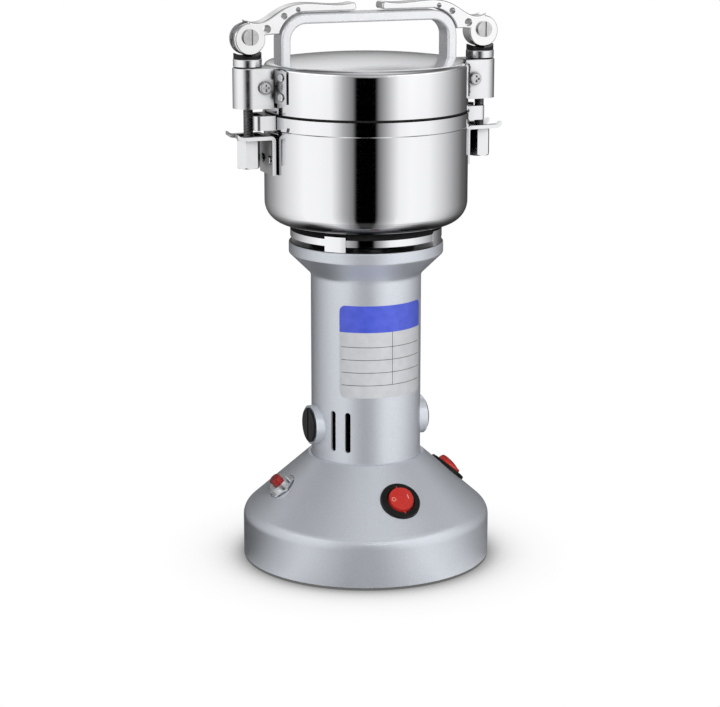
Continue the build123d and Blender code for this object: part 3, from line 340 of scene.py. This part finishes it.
def silver_paint():
    """Metallic paint outside; painted shade darkens the column's bore and its top face."""
    mat = material("silver_paint", (0.66, 0.69, 0.75), metallic=0.48, roughness=0.32)
    vary_colour(mat, scale=2600.0, dark=(0.605, 0.635, 0.69), light=(0.725, 0.755, 0.81), detail=2.0)
    vary_roughness(mat, scale=900.0, low=0.28, high=0.36)
    noise_bump(mat, scale=1500.0, strength=0.10, distance=0.2 * MM)
    tree = mat.node_tree
    # Painted shade in the column's bore
    bore_full = COLUMN_RADIUS - BORE_SHADE_END
    bore_none = COLUMN_RADIUS - BORE_SHADE_START
    blend_colour(mat, between(tree, axis_distance(tree), bore_full, bore_none, 1.0, 0.0), PAINTED_SHADE_DARK)
    # Painted shade on the collar's top face
    top_none = COLLAR_TOP - COLLAR_EDGE
    top_full = COLLAR_TOP - COLLAR_EDGE / 2.0
    blend_colour(mat, between(tree, object_axis(tree, "Z"), top_none, top_full), PAINTED_SHADE_DARK)
    return mat


def polished_steel():
    """Mirror-polished sides; the lid's top is finished satin and painted shade darkens the bowl's
    underside.
    """
    mat = material("polished_steel", (0.87, 0.873, 0.895), metallic=1.0, roughness=0.06)
    tree = mat.node_tree
    height = object_axis(tree, "Z")
    noise = object_noise(tree, scale=60.0, stretch=(1.0, 1.0, 14.0))
    polish = between(tree, noise, NOISE_LOW, NOISE_HIGH, POLISH_LOW, POLISH_HIGH)
    satin = between(tree, height, LID_SIDE_TOP - LID_EDGE, LID_SIDE_TOP, 0.0, LID_TOP_SATIN)
    tree.links.new(math_node(tree, "ADD", polish, satin), shader_inputs(mat)["Roughness"])
    noise_bump(mat, scale=45.0, strength=0.01, distance=0.4 * MM, stretch=(1.0, 1.0, 10.0))
    # Painted shade on the bowl's underside: faces that point down, low on the bowl, go dark
    surface = tree.nodes.new("ShaderNodeNewGeometry")
    slope = tree.nodes.new("ShaderNodeSeparateXYZ")
    tree.links.new(surface.outputs["True Normal"], slope.inputs["Vector"])
    facing_down = between(tree, slope.outputs["Z"], UNDERSIDE_FULL, UNDERSIDE_NONE, 1.0, 0.0)
    low = between(tree, height, BOWL_LOW, BOWL_LOW + BOWL_FADE, 1.0, 0.0)
    blend_colour(mat, math_node(tree, "MULTIPLY", facing_down, low), PAINTED_SHADE_DARK)
    return mat


def bright_steel():
    """Bent and turned steel of the clamps, with painted shade in its crevices."""
    mat = material("bright_steel", (0.80, 0.803, 0.82), metallic=1.0, roughness=0.20)
    add_crevice_shade(mat)
    vary_roughness(mat, scale=220.0, low=0.16, high=0.24)
    noise_bump(mat, scale=500.0, strength=0.02, distance=0.2 * MM)
    return mat


def satin_metal():
    """Brushed and lacquered metal of the handle."""
    mat = material("satin_metal", (0.82, 0.826, 0.85), metallic=0.6, roughness=0.30)
    vary_roughness(mat, scale=300.0, low=0.26, high=0.35, stretch=(1.0, 8.0, 1.0))
    noise_bump(mat, scale=900.0, strength=0.012, distance=0.2 * MM, stretch=(1.0, 8.0, 1.0))
    return mat


def chrome():
    """Plated metal of the levers and the breaker, with a slightly uneven face."""
    mat = material("chrome", (0.86, 0.86, 0.87), metallic=1.0, roughness=0.18)
    vary_roughness(mat, scale=150.0, low=0.14, high=0.22)
    noise_bump(mat, scale=160.0, strength=0.02, distance=0.3 * MM)
    return mat


def zinc_steel():
    """Plain steel of screws, pins, shaft and bearings, with a faint mottle."""
    mat = material("zinc_steel", (0.60, 0.60, 0.61), metallic=1.0, roughness=0.32)
    vary_colour(mat, scale=260.0, dark=(0.54, 0.54, 0.55), light=(0.66, 0.66, 0.66))
    vary_roughness(mat, scale=400.0, low=0.26, high=0.40)
    return mat


def dark_steel():
    """Oiled, threaded steel of the draw rods; their eyes are bright and have no thread."""
    mat = material("dark_steel", (0.22, 0.22, 0.23), metallic=1.0, roughness=0.36)
    vary_colour(mat, scale=700.0, dark=(0.16, 0.16, 0.165), light=(0.27, 0.27, 0.28))
    tree = mat.node_tree
    height = object_axis(tree, "Z")
    blend_colour(mat, between(tree, height, ROD_EYE_LOW, ROD_EYE_LOW + ROD_FADE), ROD_EYE_COLOUR)
    thread = between(tree, height, ROD_EYE_LOW - ROD_FADE, ROD_EYE_LOW, 1.0, 0.0)
    wave_bump(mat, scale=200.0, strength=0.9, distance=0.6 * MM, share=thread)
    return mat


def blade_steel():
    """Ground steel with its marks along one axis."""
    mat = material("blade_steel", (0.66, 0.66, 0.67), metallic=1.0, roughness=0.24)
    vary_roughness(mat, scale=90.0, low=0.18, high=0.32, stretch=(18.0, 1.0, 1.0))
    noise_bump(mat, scale=120.0, strength=0.08, distance=0.3 * MM, stretch=(18.0, 1.0, 1.0))
    return mat


def lamination():
    """Stacked electrical sheet."""
    mat = material("lamination", (0.20, 0.20, 0.215), metallic=0.8, roughness=0.5)
    vary_colour(mat, scale=300.0, dark=(0.16, 0.16, 0.17), light=(0.25, 0.25, 0.26))
    wave_bump(mat, scale=320.0, strength=0.5, distance=0.3 * MM)
    return mat


def copper():
    """Ridged copper of the windings and the commutator."""
    mat = material("copper", (0.58, 0.22, 0.10), metallic=0.9, roughness=0.34)
    vary_colour(mat, scale=500.0, dark=(0.50, 0.18, 0.08), light=(0.66, 0.27, 0.13))
    wave_bump(mat, scale=420.0, strength=0.6, distance=0.3 * MM, direction="DIAGONAL")
    return mat


def brass():
    """Drawn brass with uneven shine."""
    mat = material("brass", (0.60, 0.42, 0.15), metallic=1.0, roughness=0.30)
    vary_roughness(mat, scale=300.0, low=0.24, high=0.38)
    return mat


def carbon():
    """Pressed brush carbon with a fine grain."""
    mat = material("carbon", (0.025, 0.025, 0.026), metallic=0.0, roughness=0.7)
    vary_colour(mat, scale=900.0, dark=(0.018, 0.018, 0.018), light=(0.04, 0.04, 0.042))
    noise_bump(mat, scale=1200.0, strength=0.2, distance=0.3 * MM)
    return mat


def moulded(name, dark, light, roughness, grain, shine=0.5):
    """A moulded plastic with a faint grain."""
    mat = material(name, light, metallic=0.0, roughness=roughness)
    shader_inputs(mat)["Specular IOR Level"].default_value = shine
    vary_colour(mat, scale=120.0, dark=dark, light=light)
    vary_roughness(mat, scale=700.0, low=roughness - MOULD_SMOOTHER, high=roughness + MOULD_ROUGHER)
    noise_bump(mat, scale=1800.0, strength=grain, distance=0.2 * MM)
    return mat


def rubber():
    """Dull black rubber."""
    mat = material("rubber", (0.012, 0.012, 0.012), metallic=0.0, roughness=0.8)
    shader_inputs(mat)["Specular IOR Level"].default_value = RUBBER_SHINE
    vary_colour(mat, scale=400.0, dark=(0.008, 0.008, 0.008), light=(0.018, 0.018, 0.018))
    noise_bump(mat, scale=1600.0, strength=0.25, distance=0.3 * MM)
    return mat


def printed(name, dark, light):
    """A printed foil with a faint mottle and a clear satin face."""
    mat = material(name, light, metallic=0.0, roughness=0.32)
    vary_colour(mat, scale=220.0, dark=dark, light=light)
    noise_bump(mat, scale=900.0, strength=0.03, distance=0.1 * MM)
    return mat


finishes = {
    "silver_paint": silver_paint(),
    "polished_steel": polished_steel(),
    "bright_steel": bright_steel(),
    "satin_metal": satin_metal(),
    "chrome": chrome(),
    "zinc_steel": zinc_steel(),
    "dark_steel": dark_steel(),
    "blade_steel": blade_steel(),
    "lamination": lamination(),
    "copper": copper(),
    "brass": brass(),
    "carbon": carbon(),
    "fan_plastic": moulded(
        "fan_plastic", (0.020, 0.020, 0.021), (0.032, 0.032, 0.034), roughness=0.50, grain=0.08),
    "black_plastic": moulded(
        "black_plastic", (0.005, 0.005, 0.005), (0.010, 0.010, 0.010),
        roughness=0.38, grain=0.05, shine=0.22),
    "red_plastic": moulded(
        "red_plastic", (0.50, 0.022, 0.016), (0.57, 0.030, 0.022), roughness=0.24, grain=0.02),
    "dark_red_plastic": moulded(
        "dark_red_plastic", (0.26, 0.012, 0.012), (0.34, 0.020, 0.018), roughness=0.25, grain=0.02),
    "rubber": rubber(),
}
for entry in frame["record"]["subparts"]:
    part = nodes[entry["node"]]
    part.data.materials.clear()
    part.data.materials.append(finishes[entry["material_slot"]])


def add_piece(name, verts, faces, mat, body):
    """A mesh piece in the row frame that rides on a CAD body."""
    mesh = bpy.data.meshes.new(name)
    mesh.from_pydata([tuple(v) for v in verts], [], faces)
    mesh.update()
    mesh.materials.append(mat)
    piece = bpy.data.objects.new(name, mesh)
    bpy.context.scene.collection.objects.link(piece)
    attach(piece, body)
    return piece


def corner_drop(along, length, radius):
    """How far a rounded corner has come in at a distance along the edge."""
    near = min(along, length - along)
    if near >= radius:
        return 0.0
    return radius - math.sqrt(max(radius ** 2 - (radius - near) ** 2, 0.0))


def column_sheet(name, start, end, low, high, lift, mat, low_round=0.0, high_round=0.0):
    """A thin printed sheet on the column between two angles about -Y and two heights."""
    radius = COLUMN_RADIUS + lift
    length = math.radians(end - start) * radius
    verts = []
    for i in range(LABEL_STEPS + 1):
        share = 0.5 - 0.5 * math.cos(math.pi * i / LABEL_STEPS)
        angle = math.radians(start + (end - start) * share)
        x = radius * math.sin(angle)
        y = -radius * math.cos(angle)
        verts.append((x, y, low + corner_drop(length * share, length, low_round)))
        verts.append((x, y, high - corner_drop(length * share, length, high_round)))
    faces = [(2 * i, 2 * i + 2, 2 * i + 3, 2 * i + 1) for i in range(LABEL_STEPS)]
    piece = add_piece(name, verts, faces, mat, "body")
    for face in piece.data.polygons:
        face.use_smooth = True


def make_label():
    """A foil label with a header and an empty ruled table."""
    grey = printed("label_grey", (0.57, 0.58, 0.60), (0.63, 0.64, 0.66))
    blue = printed("label_blue", (0.066, 0.100, 0.60), (0.090, 0.127, 0.69))
    ink = printed("label_ink", (0.05, 0.05, 0.06), (0.09, 0.09, 0.10))
    half = LABEL_HALF_ANGLE
    corner = LABEL_CORNER
    width = LABEL_RULE_WIDTH
    print_lift = LABEL_LIFT + LABEL_PRINT_LIFT
    column_sheet("label_body", -half, half, LABEL_BOTTOM, LABEL_TOP, LABEL_LIFT, grey, corner, corner)
    column_sheet("label_header", -half, half, LABEL_HEADER, LABEL_TOP, print_lift, blue, 0.0, corner)
    end = half - math.degrees(LABEL_MARGIN / COLUMN_RADIUS)
    for number, height in enumerate(LABEL_RULES, 1):
        column_sheet(f"label_rule_{number}", -end, end, height, height + width, print_lift, ink)
    left = LABEL_DIVIDER_ANGLE
    right = left + math.degrees(width / COLUMN_RADIUS)
    column_sheet("label_divider", left, right, LABEL_RULES[-1], LABEL_HEADER, print_lift, ink)


def rocker_frame(turn):
    """The rocker's own axes at rest, for the front switch turned about Z."""
    across = Vector((1.0, 0.0, 0.0))
    normal = Vector((0.0, -CONE_OUT, CONE_UP))
    along = normal.cross(across)
    place = Matrix((across, along, normal)).transposed().to_4x4()
    place.translation = CONE_POINT + normal * ROCKER_PIVOT
    return Matrix.Rotation(turn, 4, "Z") @ place @ Matrix.Rotation(-ROCKER_TILT, 4, "Y")


def face_point(x, y):
    """A point just above the rocker's two sloping faces."""
    height = ROCKER_FACE + abs(x) * math.tan(ROCKER_TILT) + MARK_LIFT
    return Vector((x, y, height))


def make_marks(prefix, turn, body, mat):
    """A ring on the rocker's off side and a bar on its on side."""
    place = rocker_frame(turn)
    ring = []
    for i in range(RING_STEPS):
        angle = 2.0 * math.pi * i / RING_STEPS
        for radius in (RING_INNER, RING_OUTER):
            x = -MARK_OFFSET + radius * math.cos(angle)
            ring.append(place @ face_point(x, radius * math.sin(angle)))
    faces = []
    for i in range(RING_STEPS):
        j = (i + 1) % RING_STEPS
        faces.append((2 * i, 2 * i + 1, 2 * j + 1, 2 * j))
    add_piece(prefix + "_off_mark", ring, faces, mat, body)
    corners = ((-BAR_HALF_WIDTH, -BAR_HALF_LENGTH), (BAR_HALF_WIDTH, -BAR_HALF_LENGTH),
               (BAR_HALF_WIDTH, BAR_HALF_LENGTH), (-BAR_HALF_WIDTH, BAR_HALF_LENGTH))
    bar = [place @ face_point(MARK_OFFSET + x, y) for x, y in corners]
    add_piece(prefix + "_on_mark", bar, [(0, 1, 2, 3)], mat, body)


make_label()
mark_ink = printed("mark_ink", (0.76, 0.30, 0.24), (0.84, 0.40, 0.32))
make_marks("main", 0.0, "main_rocker", mark_ink)
make_marks("side", SIDE_SWITCH_TURN, "side_rocker", mark_ink)


def background_share(tree):
    """1 for rays that see the plain background: from the camera, a reflection or through glass."""
    path = tree.nodes.new("ShaderNodeLightPath")
    seen = math_node(tree, "MAXIMUM", path.outputs["Is Camera Ray"], path.outputs["Is Glossy Ray"])
    return math_node(tree, "MAXIMUM", seen, path.outputs["Is Transmission Ray"])


def brightness_ramp(tree, source, stops):
    """A grey ramp with a given table of places and values, driven by a share from 0 to 1."""
    ramp = tree.nodes.new("ShaderNodeValToRGB")
    elements = ramp.color_ramp.elements
    while len(elements) < len(stops):
        elements.new(0.5)
    for element, (position, value) in zip(elements, stops):
        element.position = position
        element.color = (value, value, value, 1.0)
    tree.links.new(source, ramp.inputs["Fac"])
    return ramp.outputs["Color"]


def turn_ramp(tree, source, stops):
    """A brightness ramp whose places are degrees from the camera's side."""
    return brightness_ramp(tree, source, [(degrees / 360.0 + 0.5, value) for degrees, value in stops])


def stage_mesh(name, verts, faces):
    """A mesh object of the stage, and the empty node tree of its material."""
    mesh = bpy.data.meshes.new(name)
    mesh.from_pydata(verts, [], faces)
    mat = bpy.data.materials.new(name)
    mat.use_nodes = True
    mat.node_tree.nodes.clear()
    mesh.materials.append(mat)
    piece = bpy.data.objects.new(name, mesh)
    bpy.context.scene.collection.objects.link(piece)
    return piece, mat.node_tree


def make_floor():
    """A floor that is plain grey to the light, and white with a contact shade to the camera."""
    half = FLOOR_HALF
    corners = [(-half, -half, 0.0), (half, -half, 0.0), (half, half, 0.0), (-half, half, 0.0)]
    floor, tree = stage_mesh("floor", corners, [(0, 1, 2, 3)])
    output = tree.nodes.new("ShaderNodeOutputMaterial")
    mix = tree.nodes.new("ShaderNodeMixShader")
    plain = tree.nodes.new("ShaderNodeBsdfDiffuse")
    plain.inputs["Color"].default_value = (FLOOR_GREY, FLOOR_GREY, FLOOR_GREY, 1.0)
    white = tree.nodes.new("ShaderNodeEmission")
    near = tree.nodes.new("ShaderNodeAmbientOcclusion")
    near.inputs["Distance"].default_value = FLOOR_SHADE_REACH
    near.samples = FLOOR_SHADE_SAMPLES
    tree.links.new(brightness_ramp(tree, near.outputs["AO"], FLOOR_SHADE), white.inputs["Color"])
    tree.links.new(background_share(tree), mix.inputs["Fac"])
    tree.links.new(plain.outputs[0], mix.inputs[1])
    tree.links.new(white.outputs[0], mix.inputs[2])
    tree.links.new(mix.outputs[0], output.inputs["Surface"])


def tent_level(tree):
    """The tent's brightness: walls, floor near the object, least glow and the glow on the back wall."""
    coords = tree.nodes.new("ShaderNodeTexCoord")
    turn = tree.nodes.new("ShaderNodeMapping")
    turn.inputs["Rotation"].default_value = (0.0, 0.0, math.pi / 2.0 - CAMERA_AZIMUTH)
    split = tree.nodes.new("ShaderNodeSeparateXYZ")
    tree.links.new(coords.outputs["Object"], turn.inputs["Vector"])
    tree.links.new(turn.outputs["Vector"], split.inputs["Vector"])
    angle = math_node(tree, "ARCTAN2", split.outputs["Y"], split.outputs["X"])
    around = math_node(tree, "ADD", math_node(tree, "DIVIDE", angle, 2.0 * math.pi), 0.5)
    height = math_node(tree, "DIVIDE", split.outputs["Z"], TENT_HEIGHT)

    def side_by_height(stops, heights):
        """A table by angle times a table by height."""
        sides = turn_ramp(tree, around, stops)
        return math_node(tree, "MULTIPLY", sides, brightness_ramp(tree, height, heights))

    blend = tree.nodes.new("ShaderNodeMix")
    far = brightness_ramp(tree, axis_distance(tree, 1.0 / TENT_RADIUS), TENT_FAR)
    tree.links.new(far, blend.inputs["Factor"])
    tree.links.new(turn_ramp(tree, around, TENT_FLOOR_STOPS), blend.inputs["A"])
    tree.links.new(side_by_height(TENT_STOPS, TENT_BELT), blend.inputs["B"])
    least = side_by_height(TENT_LEAST_STOPS, TENT_LEAST)
    back = side_by_height(TENT_BACK_STOPS, TENT_BACK)
    return math_node(tree, "MAXIMUM", math_node(tree, "MAXIMUM", blend.outputs["Result"], least), back)


def make_tent():
    """A studio tent that only reflections see: a dark strip, bright sides, a dim back."""
    verts = []
    for i in range(TENT_SIDES):
        angle = 2.0 * math.pi * i / TENT_SIDES
        x = TENT_RADIUS * math.cos(angle)
        y = TENT_RADIUS * math.sin(angle)
        verts.append((x, y, TENT_LIFT))
        verts.append((x, y, TENT_HEIGHT))
    faces = [tuple(range(0, 2 * TENT_SIDES, 2)), tuple(range(1, 2 * TENT_SIDES, 2))]
    for i in range(TENT_SIDES):
        j = (i + 1) % TENT_SIDES
        faces.append((2 * i, 2 * j, 2 * j + 1, 2 * i + 1))
    tent, tree = stage_mesh("tent", verts, faces)
    output = tree.nodes.new("ShaderNodeOutputMaterial")
    glow = tree.nodes.new("ShaderNodeEmission")
    tree.links.new(tent_level(tree), glow.inputs["Strength"])
    tree.links.new(glow.outputs[0], output.inputs["Surface"])
    tent.visible_camera = False
    tent.visible_diffuse = False
    tent.visible_shadow = False
    tent.visible_transmission = False


def make_world():
    """A faint fill light behind a white background."""
    world = bpy.data.worlds.new("studio")
    bpy.context.scene.world = world
    world.use_nodes = True
    tree = world.node_tree
    tree.nodes.clear()
    output = tree.nodes.new("ShaderNodeOutputWorld")
    mix = tree.nodes.new("ShaderNodeMixShader")
    fill = tree.nodes.new("ShaderNodeBackground")
    fill.inputs["Color"].default_value = (*FILL_COLOUR, 1.0)
    fill.inputs["Strength"].default_value = FILL_STRENGTH
    white = tree.nodes.new("ShaderNodeBackground")
    white.inputs["Color"].default_value = (*WHITE, 1.0)
    white.inputs["Strength"].default_value = 1.0
    tree.links.new(background_share(tree), mix.inputs["Fac"])
    tree.links.new(fill.outputs[0], mix.inputs[1])
    tree.links.new(white.outputs[0], mix.inputs[2])
    tree.links.new(mix.outputs[0], output.inputs["Surface"])


def area_light(name, place, aim, size, power):
    """A square lamp that reflections don't see."""
    lamp = bpy.data.lights.new(name, "AREA")
    lamp.shape = "SQUARE"
    lamp.size = size
    lamp.energy = power
    light = bpy.data.objects.new(name, lamp)
    light.location = place
    light.rotation_euler = (Vector(aim) - Vector(place)).to_track_quat("-Z", "Y").to_euler()
    light.visible_glossy = False
    bpy.context.scene.collection.objects.link(light)


def make_camera():
    """The photograph's view."""
    data = bpy.data.cameras.new("camera")
    data.lens = CAMERA_LENS
    data.sensor_width = CAMERA_SENSOR
    data.sensor_fit = "HORIZONTAL"
    camera = bpy.data.objects.new("camera", data)
    x = CAMERA_DISTANCE * math.sin(CAMERA_AZIMUTH)
    y = -CAMERA_DISTANCE * math.cos(CAMERA_AZIMUTH)
    camera.location = (x, y, CAMERA_HEIGHT)
    camera.rotation_euler = (math.pi / 2.0 - CAMERA_PITCH, 0.0, CAMERA_AZIMUTH + CAMERA_PAN)
    bpy.context.scene.collection.objects.link(camera)
    bpy.context.scene.camera = camera


make_floor()
make_tent()
make_world()
for lamp_row in LAMPS:
    area_light(*lamp_row)
make_camera()
bpy.context.scene.view_settings.view_transform = "Standard"
